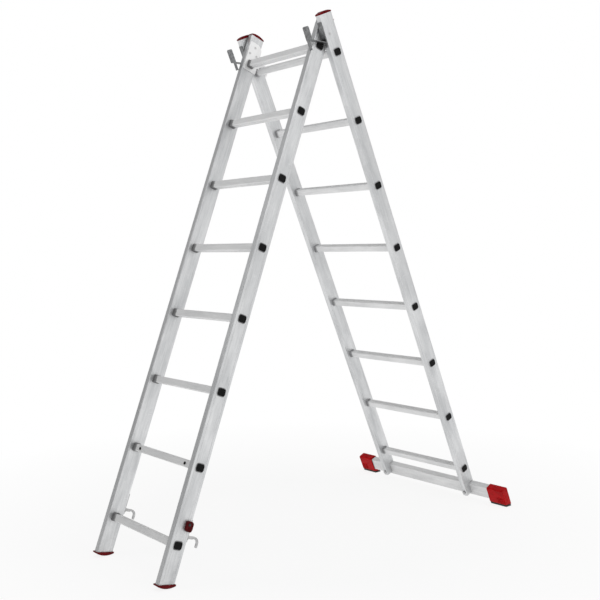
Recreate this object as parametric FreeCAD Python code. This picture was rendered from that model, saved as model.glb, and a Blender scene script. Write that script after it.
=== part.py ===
import FreeCAD, Part
import math
import os
from FreeCAD import Vector, Placement, Rotation

# Two-section combination ladder standing open as an A-frame.
# World frame: X across the ladder, Y from the front feet to the stabiliser bar, Z up from the floor.
# Each section is drawn in its own frame: x across, w up along it and v square to it, towards the rear.

# ---- ladder sections ----
rung_count = 8
rung_pitch = 280.0
front_width = 478.0          # over the outer faces of the front stiles
section_clearance = 6.0      # between the front stiles and the rear stiles, each side
stile_thickness = 25.0
stile_depth = 66.0
stile_wall = 1.8
stile_corner = 3.0
groove_width = 3.0
groove_depth = 0.5
groove_offset = 21.0
front_top_tail = 127.0       # front stile above its highest rung
rear_top_tail = 152.0
front_bottom_tail = 138.0    # stile below the lowest rung

# ---- rungs ----
rung_side = 28.0
rung_wall = 1.6
rung_corner = 4.0
tread_grooves = 4
tread_groove_width = 1.6
tread_groove_depth = 0.6
tread_pitch = 4.4
rung_fit = 0.05              # clearance of a rung in its hole
rim_overhang = 2.5           # flared rim round each rung end
rim_thickness = 1.0
collar_thickness = 2.5       # bead that clamps the stile from inside
plug_head_inset = 1.0
plug_head_thickness = 1.2
plug_stem_length = 12.0
part_gap = 0.3               # clearance between pieces that move or slip together

# ---- stance ----
front_lean = math.radians(20.8)
rear_lean = math.radians(23.3)
pivot_back = 68.0            # highest rear rung behind the front section's middle plane
pivot_up = 4.0               # highest rear rung above the highest front rung

# ---- end caps and front shoes ----
cap_overhang = 1.0
cap_thickness = 11.0
cap_dome = 7.0
cap_plug_length = 25.0
cap_plug_wall = 2.5
shoe_overhang = 4.0
shoe_edge = 5.0
shoe_radius = 88.0
shoe_plug_length = 40.0
shoe_tilt = 9.0              # degrees by which the front stiles' lower ends are cut towards level

# ---- extension hooks, latches ----
hook_thickness = 6.0
hook_mouth_radius = 14.6
hook_band = 8.5
hook_mouth_centre_up = 15.0
hook_tip_up = 0.0            # hook tip above the lowest front rung
hook_neck_height = 11.0
hook_gusset_below = 14.0     # the neck's foot below and above its straight part
hook_gusset_above = 10.0
hook_gusset_reach = 8.0
hook_base_thickness = 3.0
hook_base_width = 20.0
hook_base_bottom = 16.0
hook_base_top = 96.0
hook_rivet_bottom = 54.0
hook_rivet_top = 86.0
latch_thickness = 12.0
latch_size_v = 28.0
latch_size_w = 38.0
latch_front = 6.0
latch_bottom = 53.0
latch_pin_v = 16.0
latch_pin_w = 79.0
latch_pin_radius = 3.0
latch_pocket_radius = 8.5
latch_pocket_depth = 6.0
spring_wire = 1.0
spring_radius = 6.0
spring_turns = 3
spring_pitch = 1.5
running_fit = 0.05
rivet_radius = 2.5
rivet_head_radius = 5.0
rivet_head_height = 1.6

# ---- pivot plates on the front section ----
pivot_plate_thickness = 4.0
pivot_plate_top = 98.0
pivot_plate_bottom = -30.0
pivot_plate_front = 30.0
pivot_plate_overhang = 3.0
pivot_plate_corner = 28.0
pivot_hook_clearance = 0.5
pivot_hook_band = 9.0
pivot_hook_tip_down = 16.0

# ---- guide brackets on the rear section ----
guide_sheet = 3.0
guide_arm_width = 22.0
guide_arm_bottom = 45.0
guide_arm_top = 127.0
guide_gap = 1.5              # lip to the folded front section
guide_lip_length = 56.0
guide_lip_overlap = 6.0      # lip in front of the front stile
guide_tongue_width = 15.0
guide_tab_back = 2.0
guide_tab_bottom = 58.0
guide_tab_top = 92.0
guide_bolt_v = -9.0
guide_bolt_w = 74.0

# ---- stabiliser ----
bar_length = 926.0
bar_height = 60.0
bar_depth = 30.0
bar_wall = 2.0
bar_drop = 86.0              # top of the bar below the lowest rear rung
rear_end_raise = 12.0        # rear stile's end above the bar's lower edge
foot_length = 90.0
foot_wall = 4.0
sole_thickness = 10.0
sole_inset = 2.0
bolt_radius = 4.0
bolt_head_radius = 7.5
bolt_head_height = 5.0
nut_height = 7.0

# ---- rivets in the second front rung ----
rung_rivet_x = 160.0
rung_rivet_radius = 5.5
rung_rivet_height = 2.5

# ---- worked out from the sizes above ----
rear_width = front_width + 2 * (stile_thickness + section_clearance)
half_depth = stile_depth / 2
half_rung = rung_side / 2
rung_span = (rung_count - 1) * rung_pitch
front_outer = front_width / 2
front_inner = front_outer - stile_thickness
rear_outer = rear_width / 2
rear_inner = rear_outer - stile_thickness
opening = front_lean + rear_lean
shoe_sagitta_half = half_depth + shoe_overhang
shoe_centre_up = math.sqrt(shoe_radius ** 2 - shoe_sagitta_half ** 2) - shoe_edge
shoe_axis_forward = shoe_centre_up * math.sin(math.radians(shoe_tilt))
shoe_axis_up = shoe_centre_up * math.cos(math.radians(shoe_tilt))
front_rung_height = ((rung_span + front_bottom_tail - shoe_axis_up) * math.cos(front_lean)
                     - shoe_axis_forward * math.sin(front_lean) + shoe_radius)
pivot_height = front_rung_height - pivot_back * math.sin(front_lean) + pivot_up * math.cos(front_lean)


def front_place(shape):
    """Move a shape from the front section's frame (origin at its highest rung) to the world."""
    y = -pivot_back * math.cos(front_lean) - pivot_up * math.sin(front_lean)
    z = pivot_height + pivot_back * math.sin(front_lean) - pivot_up * math.cos(front_lean)
    lean = Rotation(Vector(1, 0, 0), -math.degrees(front_lean))
    moved = shape.copy()
    moved.Placement = Placement(Vector(0, y, z), lean).multiply(shape.Placement)
    return moved


def rear_place(shape):
    """Move a shape from the rear section's frame (origin at its highest rung) to the world."""
    lean = Rotation(Vector(1, 0, 0), math.degrees(rear_lean))
    moved = shape.copy()
    moved.Placement = Placement(Vector(0, 0, pivot_height), lean).multiply(shape.Placement)
    return moved


# ---- drawing helpers ----
def block(x0, x1, y0, y1, z0, z1):
    return Part.makeBox(x1 - x0, y1 - y0, z1 - z0, Vector(x0, y0, z0))


def rod(start, direction, length, radius):
    return Part.makeCylinder(radius, length, Vector(*start), Vector(*direction))


def outline(corners, to_point):
    """Closed face through corners (a, b, radius); to_point turns a pair (a, b) into a 3-D point."""
    arcs = []
    for index, (a, b, radius) in enumerate(corners):
        here = Vector(a, b, 0)
        before = Vector(*corners[index - 1][:2], 0) - here
        after = Vector(*corners[(index + 1) % len(corners)][:2], 0) - here
        before.normalize()
        after.normalize()
        half_angle = before.getAngle(after) / 2
        if radius == 0:
            arcs.append((here, None, here))
            continue
        tangent = radius / math.tan(half_angle)
        bisector = before + after
        bisector.normalize()
        middle = here + bisector * (radius / math.sin(half_angle) - radius)
        arcs.append((here + before * tangent, middle, here + after * tangent))
    edges = []
    for index, (start, middle, end) in enumerate(arcs):
        points = [to_point(p.x, p.y) for p in (start, middle, end) if p is not None]
        if middle is not None:
            edges.append(Part.Arc(*points).toShape())
        following = arcs[(index + 1) % len(arcs)][0]
        if (following - end).Length > 1e-6:
            edges.append(Part.makeLine(to_point(end.x, end.y), to_point(following.x, following.y)))
    return Part.Face(Part.Wire(edges))


def across(x0, x1, corners):
    """Plate with an outline in (v, w), from x0 to x1."""
    return outline(corners, lambda v, w: Vector(x0, v, w)).extrude(Vector(x1 - x0, 0, 0))


def upright(corners, w0, w1):
    """Bar with a section in (x, v), from w0 to w1."""
    return outline(corners, lambda x, v: Vector(x, v, w0)).extrude(Vector(0, 0, w1 - w0))


def rectangle(a0, a1, b0, b1, radius):
    return [(a0, b0, radius), (a1, b0, radius), (a1, b1, radius), (a0, b1, radius)]


def square(half, radius):
    return rectangle(-half, half, -half, half, radius)


def mirrored(shape):
    return shape.mirror(Vector(0, 0, 0), Vector(1, 0, 0))


def rung_heights():
    """Heights of rungs 1 (lowest) to rung_count, measured from the highest."""
    return [-(rung_count - number) * rung_pitch for number in range(1, rung_count + 1)]


# ---- stiles and rungs ----
def stile(outer_x, bottom_w, top_w):
    """Hollow right-hand stile whose outer face is at outer_x, with a square hole for each rung."""
    inner_x = outer_x - stile_thickness
    corners = [(inner_x, -half_depth, stile_corner), (outer_x, -half_depth, stile_corner)]
    for centre in (-groove_offset, groove_offset):
        corners += [
            (outer_x, centre - groove_width / 2, 0),
            (outer_x - groove_depth, centre - groove_width / 2 + groove_depth, 0),
            (outer_x - groove_depth, centre + groove_width / 2 - groove_depth, 0),
            (outer_x, centre + groove_width / 2, 0),
        ]
    corners += [(outer_x, half_depth, stile_corner), (inner_x, half_depth, stile_corner)]
    body = upright(corners, bottom_w, top_w)
    hollow = rectangle(inner_x + stile_wall, outer_x - stile_wall - groove_depth,
                       -half_depth + stile_wall, half_depth - stile_wall, stile_corner - stile_wall)
    body = body.cut(upright(hollow, bottom_w - 1, top_w + 1))
    hole = across(inner_x - 1, outer_x + 1, square(half_rung + rung_fit, rung_corner))
    holes = [hole.translated(Vector(0, 0, w)) for w in rung_heights()]
    return body.cut(Part.makeCompound(holes))


def tread_section():
    """Outer section of a rung, with non-slip grooves along its top and bottom."""
    first = -(tread_grooves - 1) * tread_pitch / 2
    centres = [first + index * tread_pitch for index in range(tread_grooves)]
    half_groove = tread_groove_width / 2
    floor = half_rung - tread_groove_depth
    bottom = []
    for v in centres:
        bottom += [(v - half_groove, -half_rung, 0), (v - half_groove, -floor, 0),
                   (v + half_groove, -floor, 0), (v + half_groove, -half_rung, 0)]
    top = [(-v, -w, 0) for v, w, _ in bottom]
    ends = square(half_rung, rung_corner)
    return [ends[0]] + bottom + ends[1:3] + top + [ends[3]]


def rung(outer_x, collar_x):
    """Square tube through both stiles: grooved tread between them, rims outside, collars inside."""
    inner_x = outer_x - stile_thickness
    body = across(-inner_x, inner_x, tread_section())
    for side in (-1, 1):
        near, far = sorted((side * inner_x, side * (outer_x + rim_thickness)))
        body = body.fuse(across(near, far, square(half_rung, rung_corner)))
        near, far = sorted((side * outer_x, side * (outer_x + rim_thickness)))
        body = body.fuse(across(near, far, square(half_rung + rim_overhang, rung_corner + rim_overhang)))
        near, far = sorted((side * collar_x, side * (collar_x - collar_thickness)))
        body = body.fuse(across(near, far, square(half_rung + rim_overhang, rung_corner + rim_overhang)))
    end_x = outer_x + rim_thickness
    bore = across(-end_x - 1, end_x + 1, square(half_rung - rung_wall, rung_corner - rung_wall))
    return body.cut(bore).removeSplitter()


def rung_plugs(outer_x):
    """Black plugs that close the rung ends."""
    face_x = outer_x + rim_thickness
    head = across(face_x, face_x + plug_head_thickness, square(half_rung - plug_head_inset, rung_corner))
    stem = across(face_x - plug_stem_length, face_x,
                  square(half_rung - rung_wall - rung_fit, rung_corner - rung_wall))
    plug = head.fuse(stem)
    both = [plug, mirrored(plug)]
    return [one.translated(Vector(0, 0, w)) for w in rung_heights() for one in both]


def tilted(shape):
    """Turn a shape drawn round the square end of a front stile to the angle that the end is cut at."""
    shape.rotate(Vector(0, 0, -(rung_span + front_bottom_tail)), Vector(1, 0, 0), shoe_tilt)
    return shape


def front_stile():
    """Front stile, cut at an angle below and drilled for its rivets and its latch pin."""
    end_w = -(rung_span + front_bottom_tail)
    body = stile(front_outer, end_w - half_depth, front_top_tail)
    body = body.cut(tilted(block(front_inner - 1, front_outer + 1, -stile_depth, stile_depth,
                                 end_w - stile_depth, end_w)))
    holes = [rod((front_outer - stile_wall - groove_depth - 1, latch_pin_v, latch_pin_w - rung_span), (1, 0, 0),
                 stile_wall + 4, latch_pin_radius + running_fit)]
    for w in (hook_rivet_bottom, hook_rivet_top):
        holes.append(rod((hook_middle_x(), half_depth - stile_wall - 1, w - rung_span), (0, 1, 0), stile_wall + 2,
                         rivet_radius + running_fit))
    for v, w in pivot_rivet_places():
        holes.append(rod((front_inner - 1, v, w), (1, 0, 0), stile_wall + 2, rivet_radius + running_fit))
    return body.cut(Part.makeCompound(holes))


# ---- end caps and shoes ----
def top_cap(outer_x, top_w):
    """Domed cap with a hollow plug that fills the stile's upper end at top_w."""
    inner_x = outer_x - stile_thickness
    side = half_depth + cap_overhang
    shoulder = top_w + cap_thickness - cap_dome
    profile = Part.Wire([
        Part.makeLine(Vector(0, -side, shoulder), Vector(0, -side, top_w)),
        Part.makeLine(Vector(0, -side, top_w), Vector(0, side, top_w)),
        Part.makeLine(Vector(0, side, top_w), Vector(0, side, shoulder)),
        Part.Arc(Vector(0, side, shoulder), Vector(0, 0, top_w + cap_thickness),
                 Vector(0, -side, shoulder)).toShape(),
    ])
    head = Part.Face(profile).extrude(Vector(stile_thickness + 2 * cap_overhang, 0, 0))
    head.translate(Vector(inner_x - cap_overhang, 0, 0))
    envelope = upright(rectangle(inner_x - cap_overhang, outer_x + cap_overhang, -side, side, stile_corner),
                       top_w, top_w + cap_thickness)
    return head.common(envelope).fuse(stile_plug(inner_x, outer_x, top_w - cap_plug_length, top_w))


def stile_plug(inner_x, outer_x, w0, w1):
    """Open-ended plug inside a stile."""
    gap = stile_wall + rung_fit
    corner = stile_corner - stile_wall
    section = rectangle(inner_x + gap, outer_x - gap - groove_depth,
                        -half_depth + gap, half_depth - gap, corner)
    plug = upright(section, w0, w1)
    wall = gap + cap_plug_wall
    core = block(inner_x + wall, outer_x - wall - groove_depth, -half_depth + wall, half_depth - wall,
                 min(w0, w1) - 1, max(w0, w1) + 1)
    return plug.cut(core)


def shoe():
    """Convex end shoe, which rolls on the floor as the ladder opens."""
    end_w = -(rung_span + front_bottom_tail)
    edge_w = end_w - shoe_edge
    centre_w = end_w + shoe_centre_up
    side = shoe_sagitta_half
    profile = Part.Wire([
        Part.makeLine(Vector(0, -side, edge_w), Vector(0, -side, end_w)),
        Part.makeLine(Vector(0, -side, end_w), Vector(0, side, end_w)),
        Part.makeLine(Vector(0, side, end_w), Vector(0, side, edge_w)),
        Part.Arc(Vector(0, side, edge_w), Vector(0, 0, centre_w - shoe_radius),
                 Vector(0, -side, edge_w)).toShape(),
    ])
    sole = Part.Face(profile).extrude(Vector(stile_thickness + 2 * shoe_overhang, 0, 0))
    sole.translate(Vector(front_inner - shoe_overhang, 0, 0))
    tilted(sole)
    plug = stile_plug(front_inner, front_outer, end_w - half_depth / 2, end_w + shoe_plug_length)
    below_end = block(front_inner, front_outer, -stile_depth, stile_depth, end_w - stile_depth, end_w)
    plug = plug.cut(tilted(below_end))
    return sole.fuse(plug)


# ---- extension hooks and latches ----
def hook_middle_x():
    return front_outer - stile_thickness / 2


def extension_hook():
    """Hook on a front stile's rear face, with a mouth that opens downwards over a rear rung."""
    w1 = -rung_span
    middle = hook_middle_x()
    x0, x1 = middle - hook_thickness / 2, middle + hook_thickness / 2
    mouth_w = w1 + hook_mouth_centre_up
    outer_radius = hook_mouth_radius + hook_band
    base_back = half_depth + hook_base_thickness
    far_v = pivot_back + hook_mouth_radius
    base = block(middle - hook_base_width / 2, middle + hook_base_width / 2, half_depth, base_back,
                 w1 + hook_base_bottom, w1 + hook_base_top)
    neck_top = mouth_w + outer_radius
    neck_bottom = neck_top - hook_neck_height
    neck = across(x0, x1, [(base_back, neck_bottom - hook_gusset_below, 0),
                           (base_back + hook_gusset_reach, neck_bottom, 6),
                           (pivot_back, neck_bottom, 0), (pivot_back, neck_top, 0),
                           (base_back + 6, neck_top, 5), (base_back, neck_top + hook_gusset_above, 0)])
    bow = rod((x0, pivot_back, mouth_w), (1, 0, 0), hook_thickness, outer_radius)
    bow = bow.cut(block(x0 - 1, x1 + 1, 0, pivot_back,
                        mouth_w - outer_radius - 1, mouth_w + outer_radius + 1))
    bow = bow.cut(block(x0 - 1, x1 + 1, 0, far_v + hook_band + 1, mouth_w - outer_radius - 1, mouth_w))
    tip_w = w1 + hook_tip_up
    tip = across(x0, x1, [(far_v, tip_w, 3), (far_v + hook_band, tip_w, 3), (far_v + hook_band, mouth_w, 0),
                          (far_v, mouth_w, 0)])
    mouth = rod((x0 - 1, pivot_back, mouth_w), (1, 0, 0), hook_thickness + 2, hook_mouth_radius)
    hook = base.fuse([neck, bow, tip]).cut(mouth)
    holes = [rod((middle, half_depth - 1, w1 + w), (0, 1, 0), hook_base_thickness + 2,
                 rivet_radius + running_fit)
             for w in (hook_rivet_bottom, hook_rivet_top)]
    return hook.cut(Part.makeCompound(holes)).removeSplitter()


def rivet(start, direction):
    """Domed rivet with its head standing on start and its shank pointing against direction."""
    shank_length = pivot_plate_thickness + stile_wall + 1
    head = rod(start, direction, rivet_head_height, rivet_head_radius)
    outward = Vector(*direction)
    rims = [edge for edge in head.Edges if isinstance(edge.Curve, Part.Circle)]
    rim = max(rims, key=lambda edge: edge.CenterOfMass.dot(outward))
    head = head.makeFillet(rivet_head_height * 0.6, [rim])
    return head.fuse(rod(start, [-d for d in direction], shank_length, rivet_radius))


def hook_rivets():
    back = half_depth + hook_base_thickness
    right = [rivet((hook_middle_x(), back, w - rung_span), (0, 1, 0))
             for w in (hook_rivet_bottom, hook_rivet_top)]
    return right + [mirrored(one) for one in right]


def latch():
    """Sprung latch lever beside the stile, with a round pocket for its spring."""
    w1 = -rung_span
    x0 = front_outer + part_gap
    x1 = x0 + latch_thickness
    v0, v1 = latch_front, latch_front + latch_size_v
    bottom, top = w1 + latch_bottom, w1 + latch_bottom + latch_size_w
    body = across(x0, x1, [(v0, bottom + 6, 5), (v0 + 8, bottom, 5), (v1 - 4, bottom, 5),
                           (v1, bottom + 10, 5), (v1, top - 6, 8), (v1 - 8, top, 8), (v0, top, 8)])
    pin = (latch_pin_v, w1 + latch_pin_w)
    body = body.cut(rod((x0 - 1, *pin), (1, 0, 0), latch_thickness + 2, latch_pin_radius + running_fit))
    body = body.cut(rod((x0 - 1, *pin), (1, 0, 0), latch_pocket_depth + 1, latch_pocket_radius))
    thumb = rod((x1 + 4, v0 + 10, bottom - 1), (0, 0, 1), latch_size_w * 0.4, 6)
    return body.cut(thumb)


def latch_pin():
    """Headed pin through the stile's wall and the latch."""
    start = front_outer - 2 - stile_wall - groove_depth
    end = front_outer + 2 * part_gap + latch_thickness
    centre = (latch_pin_v, -rung_span + latch_pin_w)
    shank = rod((start, *centre), (1, 0, 0), end - start, latch_pin_radius)
    return shank.fuse(rod((end, *centre), (1, 0, 0), 2, latch_pin_radius + 2.5))


def latch_spring(side):
    """Return spring of square wire round the latch pin; both sides use the same coil."""
    coil_length = spring_turns * spring_pitch
    half = spring_wire / 2
    corners = [Vector(spring_radius + a * half, 0, b * half)
               for a, b in ((-1, -1), (1, -1), (1, 1), (-1, 1), (-1, -1))]
    helix = Part.makeHelix(spring_pitch, coil_length, spring_radius)
    coil = Part.Wire(helix).makePipeShell([Part.makePolygon(corners)], True, True)
    coil.rotate(Vector(0, 0, 0), Vector(0, 1, 0), 90)
    near_end = front_outer + half + running_fit
    start = near_end if side > 0 else -near_end - coil_length
    coil.translate(Vector(start, latch_pin_v, -rung_span + latch_pin_w))
    return coil


# ---- pivot plates ----
def pivot_rivet_places():
    return [(-18.0, 45.0), (18.0, 45.0), (0.0, 78.0)]


def pivot_plate():
    """Plate inside each front stile; its lower hook turns on the highest rear rung."""
    x0, x1 = front_inner - pivot_plate_thickness, front_inner
    mouth = math.hypot(half_rung - rung_corner, half_rung - rung_corner) + rung_corner + pivot_hook_clearance
    outer = mouth + pivot_hook_band
    back = half_depth + pivot_plate_overhang
    plate = across(x0, x1, [(-pivot_plate_front, pivot_plate_bottom, 6), (back, pivot_plate_bottom, 4),
                            (back, pivot_plate_top, pivot_plate_corner),
                            (-pivot_plate_front, pivot_plate_top, 8)])
    bow = rod((x0, pivot_back, pivot_up), (1, 0, 0), pivot_plate_thickness, outer)
    bow = bow.cut(block(x0 - 1, x1 + 1, pivot_back - outer - 1, pivot_back + outer + 1,
                        pivot_up - outer - 1, pivot_up))
    tip_w = pivot_up - pivot_hook_tip_down
    tip = across(x0, x1, [(pivot_back + mouth, tip_w, 3), (pivot_back + outer, tip_w, 3),
                          (pivot_back + outer, pivot_up, 0), (pivot_back + mouth, pivot_up, 0)])
    web = across(x0, x1, [(back - 8, pivot_up - 4, 0), (pivot_back, pivot_up - 4, 0),
                          (pivot_back, pivot_up + outer, 0), (back - 8, pivot_up + outer + 22, 0)])
    hook = plate.fuse([bow, tip, web])
    throat = block(x0 - 1, x1 + 1, pivot_back - mouth, pivot_back + mouth, pivot_plate_bottom - 40, pivot_up)
    seat = rod((x0 - 1, pivot_back, pivot_up), (1, 0, 0), pivot_plate_thickness + 2, mouth)
    hook = hook.cut(seat).cut(throat)
    hook = hook.cut(across(x0 - 1, x1 + 1, square(half_rung + rung_fit, rung_corner)))
    holes = [rod((x0 - 1, v, w), (1, 0, 0), pivot_plate_thickness + 2, rivet_radius + running_fit)
             for v, w in pivot_rivet_places()]
    return hook.cut(Part.makeCompound(holes)).removeSplitter()


def pivot_rivets():
    right = [rivet((front_inner - pivot_plate_thickness, v, w), (-1, 0, 0)) for v, w in pivot_rivet_places()]
    return right + [mirrored(one) for one in right]


def rung_rivets():
    """Small black rivets in the front face of the second front rung."""
    w = -(rung_count - 2) * rung_pitch
    rivets = []
    for x in (-rung_rivet_x, rung_rivet_x):
        rivets.append(rod((x, -half_rung, w), (0, -1, 0), rung_rivet_height, rung_rivet_radius))
    return rivets


# ---- guide brackets ----
def guide_bracket():
    """Bent sheet on a rear stile's front face; its lip keeps the front stile in and stops the opening."""
    face = -half_depth
    lip_in = -(pivot_back + half_depth + guide_gap)
    rise = (face - lip_in) * math.tan(rear_lean)
    lip_bottom = guide_arm_bottom + rise
    x0 = rear_inner
    x1 = rear_inner + guide_arm_width
    arm = across(x0, x1, [(face - guide_sheet, guide_arm_bottom, 0), (face, guide_arm_bottom, 0),
                          (face, guide_arm_top, 2), (face - guide_sheet, guide_arm_top, 0)])
    leg_drop = guide_sheet / math.cos(rear_lean)
    leg = across(x0, x1, [(face, guide_arm_bottom, 0), (face, guide_arm_bottom + leg_drop, 0),
                          (lip_in, lip_bottom + leg_drop, 0),
                          (lip_in - guide_sheet, lip_bottom + leg_drop, 0),
                          (lip_in - guide_sheet, lip_bottom, 2), (lip_in, lip_bottom, 0)])
    lip_x0 = front_outer - guide_lip_overlap
    to_lip = lambda x, w: Vector(x, lip_in - guide_sheet, w)
    lip_top = lip_bottom + guide_lip_length
    lip = outline([(lip_x0, lip_bottom, 4), (x1, lip_bottom, 0),
                   (x1, lip_top, 6), (lip_x0, lip_top, 6)], to_lip)
    lip = lip.extrude(Vector(0, guide_sheet, 0))
    reach = pivot_back + half_depth
    contact = (reach + part_gap + lip_in * math.cos(opening)) / math.sin(opening)
    tongue_x = front_outer - guide_lip_overlap + 2
    tongue = block(tongue_x, tongue_x + guide_tongue_width, lip_in - guide_sheet, lip_in,
                   contact, lip_bottom + 5)
    tab = across(x0 - guide_sheet, x0, [(face - guide_sheet, guide_tab_bottom, 0),
                                        (guide_tab_back, guide_tab_bottom, 6),
                                        (guide_tab_back, guide_tab_top, 6),
                                        (face - guide_sheet, guide_tab_top, 0)])
    corner = block(x0 - guide_sheet, x0, face - guide_sheet, face, guide_tab_bottom, guide_tab_top)
    bracket = arm.fuse([leg, lip, tongue, tab, corner])
    hole = rod((x0 - guide_sheet - 1, guide_bolt_v, guide_bolt_w), (1, 0, 0), guide_sheet + 2,
               rivet_radius + running_fit)
    return bracket.cut(hole).removeSplitter()


def guide_rivets():
    """One long rivet through each rear stile and its bracket's tab, headed at both ends."""
    head = rod((rear_outer, guide_bolt_v, guide_bolt_w), (1, 0, 0), rivet_head_height, rivet_head_radius)
    tail = rod((rear_inner - guide_sheet - 1, guide_bolt_v, guide_bolt_w), (1, 0, 0), 1,
               rivet_head_radius - 1)
    shank = rod((rear_inner - guide_sheet, guide_bolt_v, guide_bolt_w), (1, 0, 0),
                stile_thickness + guide_sheet, rivet_radius)
    right = head.fuse([shank, tail])
    return [right, mirrored(right)]


# ---- stabiliser ----
bar_top = -rung_span - bar_drop
bar_bottom = bar_top - bar_height
bar_middle = (bar_top + bar_bottom) / 2


def rear_stile():
    """Rear stile, drilled for its guide rivet and notched behind for the stabiliser bar."""
    body = stile(rear_outer, bar_bottom + rear_end_raise, rear_top_tail)
    notch = block(rear_inner - 1, rear_outer + 1, -rung_fit, half_depth + 1,
                  bar_bottom - 1, bar_top + rung_fit)
    guide_hole = rod((rear_inner - 1, guide_bolt_v, guide_bolt_w), (1, 0, 0), stile_thickness + 2,
                     rivet_radius + running_fit)
    bolt_hole = rod((bolt_x(), -half_depth - 1, bar_middle), (0, 1, 0), stile_wall + 2,
                    bolt_radius + running_fit)
    return body.cut(Part.makeCompound([notch, guide_hole, bolt_hole]))


def bolt_x():
    return rear_outer - stile_thickness / 2


def stabiliser_bar():
    half = bar_length / 2 - foot_wall
    outer = across(-half, half, rectangle(0, bar_depth, bar_bottom, bar_top, stile_corner))
    wall = bar_wall
    inner = across(-half - 1, half + 1,
                   rectangle(wall, bar_depth - wall, bar_bottom + wall, bar_top - wall, 1))
    holes = [rod((side * bolt_x(), -1, bar_middle), (0, 1, 0), bar_depth + 2, bolt_radius + running_fit)
             for side in (-1, 1)]
    return outer.cut(inner).cut(Part.makeCompound(holes))


def stabiliser_bolts():
    right = rod((bolt_x(), -half_depth - bolt_head_height, bar_middle), (0, 1, 0), bolt_head_height,
                bolt_head_radius)
    shank_end = bar_depth + nut_height + 2
    shank = rod((bolt_x(), -half_depth, bar_middle), (0, 1, 0), half_depth + shank_end, bolt_radius)
    right = right.fuse(shank)
    return [right, mirrored(right)]


def stabiliser_nuts():
    across_corners = bolt_head_radius
    points = []
    for turn in range(7):
        angle = math.radians(60 * turn)
        points.append(Vector(bolt_x() + across_corners * math.cos(angle), bar_depth,
                             bar_middle + across_corners * math.sin(angle)))
    nut = Part.Face(Part.makePolygon(points)).extrude(Vector(0, nut_height, 0))
    bore = rod((bolt_x(), bar_depth - 1, bar_middle), (0, 1, 0), nut_height + 2, bolt_radius + running_fit)
    nut = nut.cut(bore)
    return [nut, mirrored(nut)]


def floor_w(v, height):
    """Where the rear frame's line at v meets a given height above the floor."""
    return (height - pivot_height - v * math.sin(rear_lean)) / math.cos(rear_lean)


def stabiliser_foot():
    """Moulded foot over the bar's end, cut level for its rubber sole."""
    x1 = bar_length / 2
    x0 = x1 - foot_length
    v0, v1 = -foot_wall, bar_depth + foot_wall
    top = bar_top + foot_wall
    body = across(x0, x1, [(v0, floor_w(v0, sole_thickness), 0), (v1, floor_w(v1, sole_thickness), 0),
                           (v1, top, 6), (v0, top, 6)])
    gap = rung_fit
    socket = across(x0 - 1, x1 - foot_wall + gap,
                    rectangle(-gap, bar_depth + gap, bar_bottom - gap, bar_top + gap, stile_corner))
    return body.cut(socket)


def stabiliser_sole():
    """Rubber sole under the foot, flat on the floor."""
    x1 = bar_length / 2 - sole_inset
    x0 = x1 - foot_length + 2 * sole_inset
    v0, v1 = -foot_wall + sole_inset, bar_depth + foot_wall - sole_inset
    return across(x0, x1, [(v0, floor_w(v0, 0), 0), (v1, floor_w(v1, 0), 0),
                           (v1, floor_w(v1, sole_thickness), 0), (v0, floor_w(v0, sole_thickness), 0)])


# ---- assembly ----
def build():
    """All nodes as {name: [solids]} in the world frame, with the pivot axis at Y = 0."""
    front, rear = {}, {}
    heights = rung_heights()
    add_pair(front, "front_stile", front_stile())
    add_pair(rear, "rear_stile", rear_stile())
    add_pair(front, "front_top_cap", top_cap(front_outer, front_top_tail))
    add_pair(rear, "rear_top_cap", top_cap(rear_outer, rear_top_tail))
    for section, nodes, outer_x in (("front", front, front_outer), ("rear", rear, rear_outer)):
        for number, w in enumerate(heights, 1):
            collar_x = outer_x - stile_thickness
            if section == "front" and number == rung_count:
                collar_x -= pivot_plate_thickness
            nodes[f"{section}_rung_{number}"] = [rung(outer_x, collar_x).translated(Vector(0, 0, w))]
        nodes[section + "_rung_plugs"] = rung_plugs(outer_x)
    add_pair(front, "front_shoe", shoe())
    add_pair(front, "extension_hook", extension_hook())
    add_pair(front, "latch", latch())
    add_pair(front, "latch_pin", latch_pin())
    front["latch_spring_right"] = [latch_spring(1)]
    front["latch_spring_left"] = [latch_spring(-1)]
    add_pair(front, "pivot_plate", pivot_plate())
    front["hook_rivets"] = hook_rivets()
    front["pivot_rivets"] = pivot_rivets()
    front["rung_rivets"] = rung_rivets()
    add_pair(rear, "guide_bracket", guide_bracket())
    rear["guide_rivets"] = guide_rivets()
    rear["stabiliser_bar"] = [stabiliser_bar()]
    add_pair(rear, "stabiliser_foot", stabiliser_foot())
    add_pair(rear, "stabiliser_sole", stabiliser_sole())
    rear["stabiliser_bolts"] = stabiliser_bolts()
    rear["stabiliser_nuts"] = stabiliser_nuts()
    world = {name: [front_place(one) for one in solids] for name, solids in front.items()}
    world.update({name: [rear_place(one) for one in solids] for name, solids in rear.items()})
    return world


def add_pair(nodes, name, right):
    nodes[name + "_right"] = [right]
    nodes[name + "_left"] = [mirrored(right)]


def write(world):
    """Centre the ladder's box on the origin in Y and write one STEP file per node."""
    whole = Part.makeCompound([one for solids in world.values() for one in solids]).BoundBox
    shift = Vector(0, -(whole.YMin + whole.YMax) / 2, 0)
    for name, solids in world.items():
        placed = []
        for one in solids:
            moved = one.copy()
            moved.Placement = Placement(shift, Rotation()).multiply(one.Placement)
            placed += moved.Solids
        shape = placed[0] if len(placed) == 1 else Part.makeCompound(placed)
        shape.exportStep(f"parts/{name}.step")
    print("pivot axis at", round(shift.y, 4), round(pivot_height, 4))
    print("whole box", round(whole.XLength, 3), round(whole.YLength, 3), round(whole.ZLength, 3))


write(build())
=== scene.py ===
import math

import bmesh
import bpy
from mathutils import Matrix, Vector


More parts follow.
